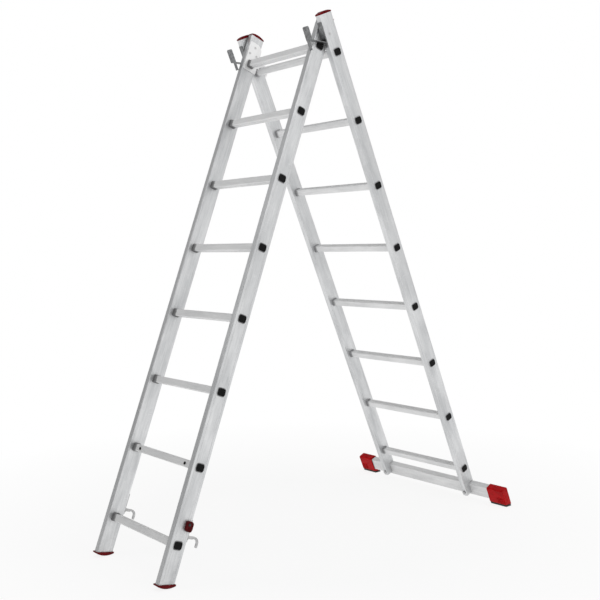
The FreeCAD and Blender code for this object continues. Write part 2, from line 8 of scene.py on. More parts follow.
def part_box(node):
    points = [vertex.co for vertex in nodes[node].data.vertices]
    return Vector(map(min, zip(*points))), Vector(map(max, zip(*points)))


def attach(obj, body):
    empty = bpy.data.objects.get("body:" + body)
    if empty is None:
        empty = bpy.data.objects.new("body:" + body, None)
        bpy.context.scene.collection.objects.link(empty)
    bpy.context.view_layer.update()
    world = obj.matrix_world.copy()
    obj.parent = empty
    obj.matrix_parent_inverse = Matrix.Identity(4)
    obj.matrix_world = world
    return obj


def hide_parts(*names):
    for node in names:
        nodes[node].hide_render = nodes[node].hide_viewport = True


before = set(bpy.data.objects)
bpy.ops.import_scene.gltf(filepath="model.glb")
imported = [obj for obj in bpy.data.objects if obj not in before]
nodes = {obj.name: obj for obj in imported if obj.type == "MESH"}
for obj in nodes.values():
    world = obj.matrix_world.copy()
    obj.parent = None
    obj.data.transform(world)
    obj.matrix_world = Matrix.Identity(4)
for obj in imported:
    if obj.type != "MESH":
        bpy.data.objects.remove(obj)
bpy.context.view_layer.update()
print("frame loaded,", len(nodes), "parts")

# the two sections lean away from each other, so every pattern is turned to follow its own section
frontLean = math.radians(20.8)
rearLean = math.radians(-23.3)
acrossTurn = (0, math.radians(90), 0)
rungNumbers = range(1, 9)
noiseSpread = (0.3, 0.7)  # where nearly all of a noise texture's values lie
white = (1.0, 1.0, 1.0, 1.0)


# small helpers for places and meshes
def boxCentre(nodeName):
    low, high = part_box(nodeName)
    return (low + high) / 2


def addObject(name, data):
    thing = bpy.data.objects.new(name, data)
    bpy.context.scene.collection.objects.link(thing)
    return thing


def meshFrom(work, name):
    mesh = bpy.data.meshes.new(name)
    work.to_mesh(mesh)
    work.free()
    return mesh


def dress(thing, material):
    thing.data.materials.clear()
    thing.data.materials.append(material)
    for face in thing.data.polygons:
        face.material_index = 0


def roundEdges(work, edges, radius, steps, clamp=False):
    bmesh.ops.bevel(work, geom=edges, offset=radius, segments=steps, profile=0.5, affect="EDGES",
                    material=-1, clamp_overlap=clamp)


def finishMesh(work, name, material, body, sharpAngle=40):
    # turns a bmesh into a piece that rides on a body
    for face in work.faces:
        face.smooth = True
    for edge in work.edges:
        edge.smooth = not (edge.is_manifold and edge.calc_face_angle() > math.radians(sharpAngle))
    piece = addObject(name, meshFrom(work, name))
    weighted = piece.modifiers.new("evenShading", "WEIGHTED_NORMAL")
    weighted.keep_sharp = True
    weighted.weight = 80
    dress(piece, material)
    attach(piece, body)
    return piece


# small helpers for node trees
def addNode(tree, kind, settings=None, values=None):
    node = tree.nodes.new(kind)
    for key, value in (settings or {}).items():
        setattr(node, key, value)
    for key, value in (values or {}).items():
        node.inputs[key].default_value = value
    return node


def mathNode(tree, operation, first, second=None):
    node = addNode(tree, "ShaderNodeMath", {"operation": operation})
    for index, value in enumerate((first, second)):
        if value is None:
            continue
        if isinstance(value, (int, float)):
            node.inputs[index].default_value = value
        else:
            tree.links.new(value, node.inputs[index])
    return node.outputs[0]


def rangeNode(tree, value, low, high, newLow=0, newHigh=1):
    node = addNode(tree, "ShaderNodeMapRange", {"clamp": True},
                   {"From Min": low, "From Max": high, "To Min": newLow, "To Max": newHigh})
    tree.links.new(value, node.inputs["Value"])
    return node.outputs[0]


def noiseNode(tree, vector, values):
    noise = addNode(tree, "ShaderNodeTexNoise", values=values)
    tree.links.new(vector, noise.inputs["Vector"])
    return noise


def stretchNode(tree, vector, factors):
    node = addNode(tree, "ShaderNodeVectorMath", {"operation": "MULTIPLY"})
    node.inputs[1].default_value = factors
    tree.links.new(vector, node.inputs[0])
    return node.outputs[0]


def mixColour(tree, amount, first, second):
    node = addNode(tree, "ShaderNodeMix", {"data_type": "RGBA"})
    tree.links.new(amount, node.inputs[0])
    for index, value in ((6, first), (7, second)):
        if isinstance(value, tuple):
            node.inputs[index].default_value = (*value, 1)
        else:
            tree.links.new(value, node.inputs[index])
    return node.outputs[2]


def bumpNode(tree, height, strength, distance):
    bump = addNode(tree, "ShaderNodeBump", values={"Strength": strength, "Distance": distance})
    tree.links.new(height, bump.inputs["Height"])
    return bump.outputs[0]


# shared shader groups: each takes a place and one number, and gives out masks that change over the surface
def newGroup(name, dial, usual, outputs):
    group = bpy.data.node_groups.new(name, "ShaderNodeTree")
    group.interface.new_socket(name="Vector", in_out="INPUT", socket_type="NodeSocketVector")
    socket = group.interface.new_socket(name=dial, in_out="INPUT", socket_type="NodeSocketFloat")
    socket.default_value = usual
    for output in outputs:
        group.interface.new_socket(name=output, in_out="OUTPUT", socket_type="NodeSocketFloat")
    start = group.nodes.new("NodeGroupInput")
    end = group.nodes.new("NodeGroupOutput")
    return group, start, end


drawnLinesSettings = {
    "lineStretch": (1.0, 1.0, 0.008),
    "lines": {"Detail": 3.0, "Roughness": 0.65},
    "patchStretch": (1.6, 1.6, 0.45),
    "patches": {"Scale": 13.0, "Detail": 5.0, "Roughness": 0.6},
    "nickStretch": (0.35, 0.06, 1.0),
    "nicks": {"Scale": 420.0, "Detail": 1.0, "Roughness": 0.4, "Distortion": 0.6},
    "nickRange": (0.66, 0.72),
    "handled": {"Scale": 26.0, "Detail": 2.0},
    "handledRange": (0.55, 0.66),
}


def makeDrawnLines(settings):
    # long fine lines left by a die, along the local Z of the vector, with cloudy patches and short nicks
    group, start, end = newGroup("drawnLines", "Fineness", 900.0, ("Lines", "Patches", "Scratches"))
    place = start.outputs["Vector"]
    lines = noiseNode(group, stretchNode(group, place, settings["lineStretch"]), settings["lines"])
    group.links.new(start.outputs["Fineness"], lines.inputs["Scale"])
    patches = noiseNode(group, stretchNode(group, place, settings["patchStretch"]), settings["patches"])
    nicks = noiseNode(group, stretchNode(group, place, settings["nickStretch"]), settings["nicks"])
    handled = noiseNode(group, place, settings["handled"])
    scratches = mathNode(group, "MULTIPLY", rangeNode(group, nicks.outputs["Fac"], *settings["nickRange"]),
                         rangeNode(group, handled.outputs["Fac"], *settings["handledRange"]))
    group.links.new(lines.outputs["Fac"], end.inputs["Lines"])
    group.links.new(patches.outputs["Fac"], end.inputs["Patches"])
    group.links.new(scratches, end.inputs["Scratches"])
    return group


edgeWearSettings = {
    "edgeRange": (0.99, 0.86),
    "chips": {"Scale": 160.0, "Detail": 4.0, "Roughness": 0.6},
    "chipRange": (0.4, 0.6),
    "leastWorn": 0.15,
}


def makeEdgeWear(settings):
    # where corners are rubbed: the rounded normal leaves the flat one
    group, start, end = newGroup("edgeWear", "Radius", 0.001, ("Wear",))
    rounded = addNode(group, "ShaderNodeBevel", {"samples": 4})
    group.links.new(start.outputs["Radius"], rounded.inputs["Radius"])
    flat = addNode(group, "ShaderNodeNewGeometry")
    dot = addNode(group, "ShaderNodeVectorMath", {"operation": "DOT_PRODUCT"})
    group.links.new(rounded.outputs[0], dot.inputs[0])
    group.links.new(flat.outputs["Normal"], dot.inputs[1])
    edge = rangeNode(group, dot.outputs["Value"], *settings["edgeRange"])
    chips = noiseNode(group, start.outputs["Vector"], settings["chips"])
    chipped = rangeNode(group, chips.outputs["Fac"], *settings["chipRange"], settings["leastWorn"])
    group.links.new(mathNode(group, "MULTIPLY", edge, chipped), end.inputs["Wear"])
    return group


dustAndCornerShadeSettings = {
    "groundShare": 0.3,
    "cornerReach": 0.014,
    "cornerRange": (0.85, 0.35),
    "specks": {"Scale": 75.0, "Detail": 6.0, "Roughness": 0.7},
    "speckRange": (0.38, 0.68),
    "leastDustAndShade": 0.3,
}


def makeDustAndCornerShade(settings):
    # painted shade in the corners, found by ambient occlusion, and grime, more thinly, close to the ground;
    # specks break up both
    group, start, end = newGroup("dustAndCornerShade", "Reach", 0.12, ("DustAndShade",))
    split = addNode(group, "ShaderNodeSeparateXYZ")
    group.links.new(start.outputs["Vector"], split.inputs[0])
    height = mathNode(group, "DIVIDE", split.outputs["Z"], start.outputs["Reach"])
    low = rangeNode(group, mathNode(group, "SUBTRACT", 1.0, height), 0, 1)
    corners = addNode(group, "ShaderNodeAmbientOcclusion", {"samples": 4, "only_local": False},
                      {"Distance": settings["cornerReach"]})
    # painted shade: corners and joints are darkened where the ambient occlusion finds them closed in
    cornerShade = rangeNode(group, corners.outputs["AO"], *settings["cornerRange"])
    specks = noiseNode(group, start.outputs["Vector"], settings["specks"])
    patchy = rangeNode(group, specks.outputs["Fac"], *settings["speckRange"], settings["leastDustAndShade"])
    total = mathNode(group, "ADD", mathNode(group, "MULTIPLY", low, settings["groundShare"]), cornerShade)
    group.links.new(mathNode(group, "MULTIPLY", total, patchy), end.inputs["DustAndShade"])
    return group


mouldedSkinSettings = {
    "grain": {"Detail": 3.0, "Roughness": 0.55},
    "flow": {"Scale": 34.0, "Detail": 4.0, "Roughness": 0.55, "Distortion": 0.8},
}


def makeMouldedSkin(settings):
    # the fine spark-eroded texture of a moulding tool
    group, start, end = newGroup("mouldedSkin", "Grain", 1100.0, ("Height", "Shade"))
    grain = noiseNode(group, start.outputs["Vector"], settings["grain"])
    group.links.new(start.outputs["Grain"], grain.inputs["Scale"])
    flow = noiseNode(group, start.outputs["Vector"], settings["flow"])
    group.links.new(grain.outputs["Fac"], end.inputs["Height"])
    group.links.new(flow.outputs["Fac"], end.inputs["Shade"])
    return group


groups = {
    "drawnLines": makeDrawnLines(drawnLinesSettings),
    "edgeWear": makeEdgeWear(edgeWearSettings),
    "dustAndCornerShade": makeDustAndCornerShade(dustAndCornerShadeSettings),
    "mouldedSkin": makeMouldedSkin(mouldedSkinSettings),
}
print("shader groups made")


# materials
def useGroup(tree, name, vector, dial, value):
    node = tree.nodes.new("ShaderNodeGroup")
    node.node_tree = groups[name]
    tree.links.new(vector, node.inputs["Vector"])
    node.inputs[dial].default_value = value
    return node


def newMaterial(name):
    material = bpy.data.materials.new(name)
    material.use_nodes = True
    tree = material.node_tree
    tree.nodes.clear()
    output = tree.nodes.new("ShaderNodeOutputMaterial")
    shader = tree.nodes.new("ShaderNodeBsdfPrincipled")
    tree.links.new(shader.outputs[0], output.inputs[0])
    place = tree.nodes.new("ShaderNodeTexCoord").outputs["Object"]
    return material, tree, shader, place


def turnedPlace(tree, place, turn):
    mapping = addNode(tree, "ShaderNodeMapping", {"vector_type": "POINT"})
    mapping.inputs["Rotation"].default_value = turn
    tree.links.new(place, mapping.inputs["Vector"])
    return mapping.outputs[0]


aluminiumLook = {
    "light": (0.84, 0.845, 0.85),
    "dark": (0.47, 0.48, 0.49),
    "rubbed": (0.93, 0.93, 0.93),
    "grimeAndShade": (0.16, 0.155, 0.15),
    "fineness": 950.0,
    "lineShare": 0.5,
    "patchShare": 0.5,
    "scratched": 0.5,
    "wearRadius": 0.0012,
    "dustReach": 0.16,
    "dustedAndShaded": 0.55,
    "blendRange": (0.2, 0.8),
    "roughLow": 0.30,
    "roughHigh": 0.50,
    "roughUnderDustAndShade": 0.25,
    "lineStrength": 0.35,
    "lineDepth": 0.00008,
    "metal": 1.0,
    "metalUnderDustAndShade": 0.4,
    "endShadeFrom": 0,  # where the painted shade at the tube's ends begins, from the middle of the tube; 0 is for a tube without it
    "endShade": (0.13, 0.13, 0.135),
    "endShadeShare": 0.85,
    "endShadeFade": 0.008,
    "endShadeRagged": 0.004,
    "spots": {"Scale": 90.0, "Detail": 4.0, "Roughness": 0.6},
}
# painted light: the rungs and the bar take a lighter, less metallic copy of the stile aluminium, standing for
# light on their front faces
paintedLightRungLook = {
    **aluminiumLook,
    "light": (0.90, 0.90, 0.90),
    "dark": (0.60, 0.605, 0.61),
    "roughLow": 0.38,
    "roughHigh": 0.55,
    "metal": 0.4,
}
frontRungLook = {**paintedLightRungLook, "endShadeFrom": 0.188}
rearRungLook = {**paintedLightRungLook, "endShadeFrom": 0.228, "endShade": (0.30, 0.30, 0.31)}
plateLook = {
    **aluminiumLook,
    "light": (0.93, 0.93, 0.93),
    "dark": (0.78, 0.78, 0.78),
    "lineDepth": 0.00004,
    "metal": 0.7,
}


def shadedRungEnds(tree, place, look):
    # painted shade: the tube's ends are darkened, with a ragged edge, where they meet the stiles
    split = addNode(tree, "ShaderNodeSeparateXYZ")
    tree.links.new(place, split.inputs[0])
    spots = noiseNode(tree, place, look["spots"])
    reach = look["endShadeRagged"]
    wander = rangeNode(tree, spots.outputs["Fac"], *noiseSpread, -reach, reach)
    ragged = mathNode(tree, "ADD", mathNode(tree, "ABSOLUTE", split.outputs["X"]), wander)
    return rangeNode(tree, ragged, look["endShadeFrom"], look["endShadeFrom"] + look["endShadeFade"],
                     0, look["endShadeShare"])


def makeAluminium(name, turn, look):
    material, tree, shader, place = newMaterial(name)
    drawn = useGroup(tree, "drawnLines", turnedPlace(tree, place, turn), "Fineness", look["fineness"])
    wear = useGroup(tree, "edgeWear", place, "Radius", look["wearRadius"])
    dustAndShade = useGroup(tree, "dustAndCornerShade", place, "Reach", look["dustReach"])
    lines = rangeNode(tree, drawn.outputs["Lines"], *noiseSpread)
    patches = rangeNode(tree, drawn.outputs["Patches"], *noiseSpread)
    blend = mathNode(tree, "ADD", mathNode(tree, "MULTIPLY", lines, look["lineShare"]),
                     mathNode(tree, "MULTIPLY", patches, look["patchShare"]))
    scratches = mathNode(tree, "MULTIPLY", drawn.outputs["Scratches"], look["scratched"])
    dustedAndShaded = mathNode(tree, "MULTIPLY", dustAndShade.outputs["DustAndShade"], look["dustedAndShaded"])
    colour = mixColour(tree, blend, look["light"], look["dark"])
    colour = mixColour(tree, scratches, colour, look["rubbed"])
    colour = mixColour(tree, wear.outputs["Wear"], colour, look["rubbed"])
    # grime near the ground and painted shade in the corners
    colour = mixColour(tree, dustedAndShaded, colour, look["grimeAndShade"])
    # painted shade at the rung ends, where the rungs meet the stiles
    if look["endShadeFrom"]:
        colour = mixColour(tree, shadedRungEnds(tree, place, look), colour, look["endShade"])
    polish = rangeNode(tree, blend, *look["blendRange"], look["roughLow"], look["roughHigh"])
    rough = mathNode(tree, "ADD", polish, mathNode(tree, "MULTIPLY", dustAndShade.outputs["DustAndShade"], look["roughUnderDustAndShade"]))
    metal = rangeNode(tree, dustAndShade.outputs["DustAndShade"], 0, 1, look["metal"], look["metalUnderDustAndShade"] * look["metal"])
    normal = bumpNode(tree, drawn.outputs["Lines"], look["lineStrength"], look["lineDepth"])
    tree.links.new(colour, shader.inputs["Base Color"])
    tree.links.new(rough, shader.inputs["Roughness"])
    tree.links.new(metal, shader.inputs["Metallic"])
    tree.links.new(normal, shader.inputs["Normal"])
    return material


zincLook = {
    "light": (0.30, 0.305, 0.31),
    "dark": (0.10, 0.102, 0.105),
    "rubbed": (0.72, 0.72, 0.71),
    "grimeAndShade": (0.14, 0.13, 0.12),
    "spangle": 260.0,
    "spangleShare": 0.4,
    "cloud": {"Scale": 45.0, "Detail": 5.0, "Roughness": 0.65},
    "cloudShare": 0.6,
    "wearRadius": 0.0008,
    "dustReach": 0.1,
    "dustedAndShaded": 0.6,
    "roughLow": 0.32,
    "roughHigh": 0.52,
    "cloudStrength": 0.25,
    "cloudDepth": 0.0002,
}
rivetLook = {**zincLook, "light": (0.72, 0.72, 0.72), "dark": (0.5, 0.5, 0.5)}
hookLook = {**zincLook, "light": (0.62, 0.62, 0.62), "dark": (0.36, 0.36, 0.365)}
blackenedLook = {
    **zincLook,
    "light": (0.07, 0.07, 0.07),
    "dark": (0.03, 0.03, 0.03),
    "rubbed": (0.2, 0.2, 0.2),
}


def makeZinc(name, look):
    material, tree, shader, place = newMaterial(name)
    cells = addNode(tree, "ShaderNodeTexVoronoi", {"feature": "F1"},
                    {"Scale": look["spangle"], "Randomness": 1.0})
    tree.links.new(place, cells.inputs["Vector"])
    spangle = addNode(tree, "ShaderNodeSeparateColor")
    tree.links.new(cells.outputs["Color"], spangle.inputs[0])
    cloud = noiseNode(tree, place, look["cloud"])
    wear = useGroup(tree, "edgeWear", place, "Radius", look["wearRadius"])
    dustAndShade = useGroup(tree, "dustAndCornerShade", place, "Reach", look["dustReach"])
    clouds = rangeNode(tree, cloud.outputs["Fac"], *noiseSpread)
    blend = mathNode(tree, "ADD", mathNode(tree, "MULTIPLY", spangle.outputs[0], look["spangleShare"]),
                     mathNode(tree, "MULTIPLY", clouds, look["cloudShare"]))
    dustedAndShaded = mathNode(tree, "MULTIPLY", dustAndShade.outputs["DustAndShade"], look["dustedAndShaded"])
    colour = mixColour(tree, blend, look["light"], look["dark"])
    colour = mixColour(tree, wear.outputs["Wear"], colour, look["rubbed"])
    # grime near the ground and painted shade in the corners
    colour = mixColour(tree, dustedAndShaded, colour, look["grimeAndShade"])
    rough = rangeNode(tree, blend, 0, 1, look["roughLow"], look["roughHigh"])
    normal = bumpNode(tree, cloud.outputs["Fac"], look["cloudStrength"], look["cloudDepth"])
    tree.links.new(colour, shader.inputs["Base Color"])
    tree.links.new(rough, shader.inputs["Roughness"])
    tree.links.new(normal, shader.inputs["Normal"])
    shader.inputs["Metallic"].default_value = 1.0
    return material


redLook = {
    "fresh": (0.52, 0.0, 0.003),
    "deep": (0.30, 0.0, 0.001),
    "rubbed": (0.58, 0.02, 0.02),
    "grimeAndShade": (0.06, 0.01, 0.01),
    "grain": 1000.0,
    "roughLow": 0.36,
    "roughHigh": 0.52,
    "shine": 0.1,
    "wearRadius": 0.001,
    "worn": 0.55,
    "dustReach": 0.03,
    "dustedAndShaded": 0.6,
    "grainStrength": 0.4,
    "grainDepth": 0.00025,
}
darkRedLook = {
    **redLook,
    "fresh": (0.17, 0.0, 0.003),
    "deep": (0.075, 0.0, 0.001),
    "rubbed": (0.32, 0.006, 0.008),
}
latchLook = {
    **redLook,
    "fresh": (0.10, 0.0, 0.002),
    "deep": (0.045, 0.0, 0.001),
    "rubbed": (0.18, 0.004, 0.006),
}
blackLook = {
    **redLook,
    "fresh": (0.0045, 0.0045, 0.0045),
    "deep": (0.002, 0.002, 0.002),
    "rubbed": (0.02, 0.02, 0.02),
    "grimeAndShade": (0.02, 0.019, 0.018),
    "grain": 1300.0,
    "roughLow": 0.42,
    "roughHigh": 0.6,
    "shine": 0.12,
    "wearRadius": 0.0006,
    "dustReach": 0.05,
}
rubberLook = {
    **redLook,
    "fresh": (0.018, 0.018, 0.018),
    "deep": (0.009, 0.009, 0.009),
    "rubbed": (0.07, 0.068, 0.065),
    "grimeAndShade": (0.15, 0.14, 0.125),
    "grain": 700.0,
    "roughLow": 0.7,
    "roughHigh": 0.9,
    "shine": 0.2,
    "wearRadius": 0.0008,
    "dustReach": 0.012,
}


def makeMoulded(name, look):
    material, tree, shader, place = newMaterial(name)
    skin = useGroup(tree, "mouldedSkin", place, "Grain", look["grain"])
    wear = useGroup(tree, "edgeWear", place, "Radius", look["wearRadius"])
    dustAndShade = useGroup(tree, "dustAndCornerShade", place, "Reach", look["dustReach"])
    shade = rangeNode(tree, skin.outputs["Shade"], *noiseSpread)
    worn = mathNode(tree, "MULTIPLY", wear.outputs["Wear"], look["worn"])
    dustedAndShaded = mathNode(tree, "MULTIPLY", dustAndShade.outputs["DustAndShade"], look["dustedAndShaded"])
    colour = mixColour(tree, shade, look["fresh"], look["deep"])
    colour = mixColour(tree, worn, colour, look["rubbed"])
    # grime near the ground and painted shade in the corners
    colour = mixColour(tree, dustedAndShaded, colour, look["grimeAndShade"])
    rough = rangeNode(tree, skin.outputs["Shade"], *noiseSpread, look["roughLow"], look["roughHigh"])
    normal = bumpNode(tree, skin.outputs["Height"], look["grainStrength"], look["grainDepth"])
    tree.links.new(colour, shader.inputs["Base Color"])
    tree.links.new(rough, shader.inputs["Roughness"])
    tree.links.new(normal, shader.inputs["Normal"])
    shader.inputs["Specular IOR Level"].default_value = look["shine"]
    return material


finishes = {
    "frontStile": makeAluminium("frontStileAluminium", (frontLean, 0, 0), aluminiumLook),
    "rearStile": makeAluminium("rearStileAluminium", (rearLean, 0, 0), aluminiumLook),
    "crossTube": makeAluminium("crossTubeAluminium", acrossTurn, paintedLightRungLook),
    "frontRung": makeAluminium("frontRungAluminium", acrossTurn, frontRungLook),
    "rearRung": makeAluminium("rearRungAluminium", acrossTurn, rearRungLook),
    "plate": makeAluminium("pivotPlateAluminium", (frontLean, 0, 0), plateLook),
    "zinc": makeZinc("zincSheet", zincLook),
    "rivet": makeZinc("rivetSteel", rivetLook),
    "blackened": makeZinc("blackenedSteel", blackenedLook),
    "hookZinc": makeZinc("hookSteel", hookLook),
    "red": makeMoulded("redMoulding", redLook),
    "darkRed": makeMoulded("darkRedMoulding", darkRedLook),
    "latchRed": makeMoulded("latchMoulding", latchLook),
    "black": makeMoulded("blackMoulding", blackLook),
    "rubber": makeMoulded("blackRubber", rubberLook),
}
print("materials made:", len(finishes))

# the latch springs are the only parts that show as they come; every other part has a piece in its place
for side in ("left", "right"):
    dress(nodes[f"latch_spring_{side}"], finishes["rivet"])
print("springs dressed")

# plugs in the rung ends
plugSettings = {
    "halfDepth": 0.0162,
    "halfHeight": 0.0132,
    "thickness": 0.0020,
    "cornerRadius": 0.0072,
    "cornerSteps": 4,
    "edgeWidth": 0.0006,
    "edgeHeight": 0.0004,
    "rimWidth": 0.0022,
    "dishSlope": 0.0008,
    "dishDepth": 0.0006,
    "buttonRadius": 0.0028,
    "buttonTaper": 0.8,
    "buttonSides": 20,
    "proud": 0.0014,
    "sharpAngle": 50,
}


def makePlugShape(settings):
    # one plug around the origin, facing along X: a plate with an eased edge, a rim, a dish and a button in it
    work = bmesh.new()
    plate = bmesh.ops.create_cube(work, size=1.0)["verts"]
    size = (settings["thickness"], 2 * settings["halfDepth"], 2 * settings["halfHeight"])
    bmesh.ops.scale(work, vec=size, verts=plate)
    corners = [edge for edge in work.edges if edge.verts[0].co.x * edge.verts[1].co.x < 0]
    roundEdges(work, corners, settings["cornerRadius"], settings["cornerSteps"])
    face = max(work.faces, key=lambda each: each.calc_center_median().x)
    bmesh.ops.inset_region(work, faces=[face], thickness=settings["edgeWidth"], depth=0.0)
    bmesh.ops.translate(work, vec=(settings["edgeHeight"], 0, 0), verts=face.verts)
    rimLeft = settings["rimWidth"] - settings["edgeWidth"]
    bmesh.ops.inset_region(work, faces=[face], thickness=rimLeft, depth=0.0)
    bmesh.ops.inset_region(work, faces=[face], thickness=settings["dishSlope"], depth=-settings["dishDepth"])
    middle = face.calc_center_median().x + settings["dishDepth"] / 2
    button = Matrix.Translation((middle, 0, 0)) @ Matrix.Rotation(math.radians(90), 4, "Y")
    bmesh.ops.create_cone(work, cap_ends=True, segments=settings["buttonSides"],
                          radius1=settings["buttonRadius"],
                          radius2=settings["buttonRadius"] * settings["buttonTaper"],
                          depth=settings["dishDepth"], matrix=button)
    return meshFrom(work, "plugShape")


def makePlugs(section, lean, settings):
    node = section + "_rung_plugs"
    low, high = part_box(node)
    across = high.x + settings["proud"] - settings["thickness"] / 2
    plug = makePlugShape(settings)
    work = bmesh.new()
    for number in rungNumbers:
        centre = boxCentre(f"{section}_rung_{number}")
        for side, turn in ((-1, math.radians(180)), (1, 0)):
            placed = plug.copy()
            placed.transform(Matrix.Translation((side * across, centre.y, centre.z))
                             @ Matrix.Rotation(-lean, 4, "X") @ Matrix.Rotation(turn, 4, "Z"))
            work.from_mesh(placed)
            bpy.data.meshes.remove(placed)
    bpy.data.meshes.remove(plug)
    piece = finishMesh(work, section + "RungPlugs", finishes["black"], section,
                       settings["sharpAngle"])
    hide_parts(node)


makePlugs("front", frontLean, plugSettings)
makePlugs("rear", rearLean, plugSettings)
print("rung plugs made")

# raised grips on the mouldings, placed from the top rung of their section and turned with it
frontOrigin = boxCentre("front_rung_8")
rearOrigin = boxCentre("rear_rung_8")


def addRibs(work, origin, lean, ribs, size, roundness):
    # short rounded bars, sunk a little into the face that they stand on; each place is (across, out, along)
    for place in ribs:
        matrix = (Matrix.Translation(origin) @ Matrix.Rotation(-lean, 4, "X") @ Matrix.Translation(place)
                  @ Matrix.Diagonal((*size, 1)))
        made = bmesh.ops.create_cube(work, size=1.0, matrix=matrix)["verts"]
        roundEdges(work, list({edge for vert in made for edge in vert.link_edges}), roundness, 2)


gripSettings = {
    "footRibs": 5,
    "footFirst": 0.424,
    "footPitch": 0.0078,
    "footFace": -0.0042,
    "footAlong": -2.0985,
    "footRib": (0.0036, 0.0034, 0.028),
    "soleLugs": 11,
    "soleFirst": 0.380,
    "solePitch": 0.0078,
    "soleFace": -0.0022,
    "soleLug": (0.0040, 0.0018, 0.0062),
    "latchRibs": 4,
    "latchFace": 0.2498,
    "latchOut": 0.016,
    "latchFirst": -1.9045,
    "latchPitch": 0.0034,
    "latchRib": (0.0022, 0.0095, 0.0016),
    "roundness": 0.0005,
}


def footGrip(work, sign):
    places = [(sign * (gripSettings["footFirst"] + number * gripSettings["footPitch"]),
               gripSettings["footFace"], gripSettings["footAlong"])
              for number in range(gripSettings["footRibs"])]
    addRibs(work, rearOrigin, rearLean, places, gripSettings["footRib"], gripSettings["roundness"])


def soleGrip(work, sign):
    middle = (min(vert.co.z for vert in work.verts) + max(vert.co.z for vert in work.verts)) / 2
    along = (middle - rearOrigin.z - gripSettings["soleFace"] * math.sin(-rearLean)) / math.cos(rearLean)
    places = [(sign * (gripSettings["soleFirst"] + number * gripSettings["solePitch"]),
               gripSettings["soleFace"], along) for number in range(gripSettings["soleLugs"])]
    addRibs(work, rearOrigin, rearLean, places, gripSettings["soleLug"], gripSettings["roundness"])


def latchGrip(work, sign):
    places = [(sign * gripSettings["latchFace"], gripSettings["latchOut"],
               gripSettings["latchFirst"] + number * gripSettings["latchPitch"])
              for number in range(gripSettings["latchRibs"])]
    addRibs(work, frontOrigin, frontLean, places, gripSettings["latchRib"], gripSettings["roundness"])


# how far each kind of part is rounded off, and in how many steps
roundings = {
    "cap": {"radius": 0.0012, "steps": 3},
    "shoe": {"radius": 0.0016, "steps": 3},
    "foot": {"radius": 0.0022, "steps": 3},
    "sole": {"radius": 0.0014, "steps": 2},
    "latch": {"radius": 0.0012, "steps": 3},
    "sheet": {"radius": 0.0006, "steps": 2},
    "small": {"radius": 0.0005, "steps": 2},
}
cornerSettings = {"mergeWithin": 0.00001, "flatWithin": 1, "sharpFrom": 35}


def softened(nodeName, finish, body, rounding=None, grip=None, sign=1):
    # the same shape as the part, with its corners rounded off as moulding or rolling leaves them
    # a tube has no rounding here: its curves are in the part already, and only its shading is evened
    work = bmesh.new()
    work.from_mesh(nodes[nodeName].data)
    bmesh.ops.remove_doubles(work, verts=work.verts, dist=cornerSettings["mergeWithin"])
    if rounding:
        bmesh.ops.dissolve_limit(work, angle_limit=math.radians(cornerSettings["flatWithin"]),
                                 verts=work.verts, edges=work.edges)
        sharp = [edge for edge in work.edges
                 if edge.is_manifold and edge.calc_face_angle() > math.radians(cornerSettings["sharpFrom"])]
        roundEdges(work, sharp, roundings[rounding]["radius"], roundings[rounding]["steps"], clamp=True)
    if grip:
        grip(work, sign)
    piece = finishMesh(work, nodeName + "Shape", finishes[finish], body)
    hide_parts(nodeName)


# mouldings, bent sheet and stiles, one side after the other
for side, sign in (("left", -1), ("right", 1)):
    softened(f"front_top_cap_{side}", "darkRed", "front", "cap")
    softened(f"rear_top_cap_{side}", "darkRed", "rear", "cap")
    softened(f"front_shoe_{side}", "darkRed", "front", "shoe")
    softened(f"stabiliser_foot_{side}", "red", "rear", "foot", footGrip, sign)
    softened(f"stabiliser_sole_{side}", "rubber", "rear", "sole", soleGrip, sign)
    softened(f"latch_{side}", "latchRed", f"latch_{side}", "latch", latchGrip, sign)
    softened(f"extension_hook_{side}", "hookZinc", "front", "sheet")
    softened(f"pivot_plate_{side}", "plate", "front", "sheet")
    softened(f"guide_bracket_{side}", "zinc", "rear", "sheet")
    softened(f"latch_pin_{side}", "blackened", "front", "small")
    softened(f"front_stile_{side}", "frontStile", "front")
    softened(f"rear_stile_{side}", "rearStile", "rear")
print("mouldings, sheet parts and stiles made")

# fastenings
softened("hook_rivets", "rivet", "front", "small")
softened("pivot_rivets", "rivet", "front", "small")
softened("guide_rivets", "rivet", "rear", "small")
softened("stabiliser_bolts", "hookZinc", "rear", "small")
softened("stabiliser_nuts", "hookZinc", "rear", "small")
# partly painted shade: the rung rivets are black so that they show as the dark marks at the rung joints
softened("rung_rivets", "black", "front", "small")

# rungs and the stabiliser bar
for section in ("front", "rear"):
    for number in rungNumbers:
        softened(f"{section}_rung_{number}", section + "Rung", section)
softened("stabiliser_bar", "crossTube", "rear")
print("fastenings, rungs and bar made")

# floor, light and camera
floorSettings = {
    "size": 60.0,
    "light": (0.90, 0.90, 0.895),
    "dark": (0.86, 0.86, 0.855),
    "cloud": {"Scale": 1.5, "Detail": 4.0},
    "roughness": 0.75,
    "shine": 0.2,
    "fadeStart": 0.7,
    "fadeEnd": 2.2,
    "nearGlow": 0.85,
}


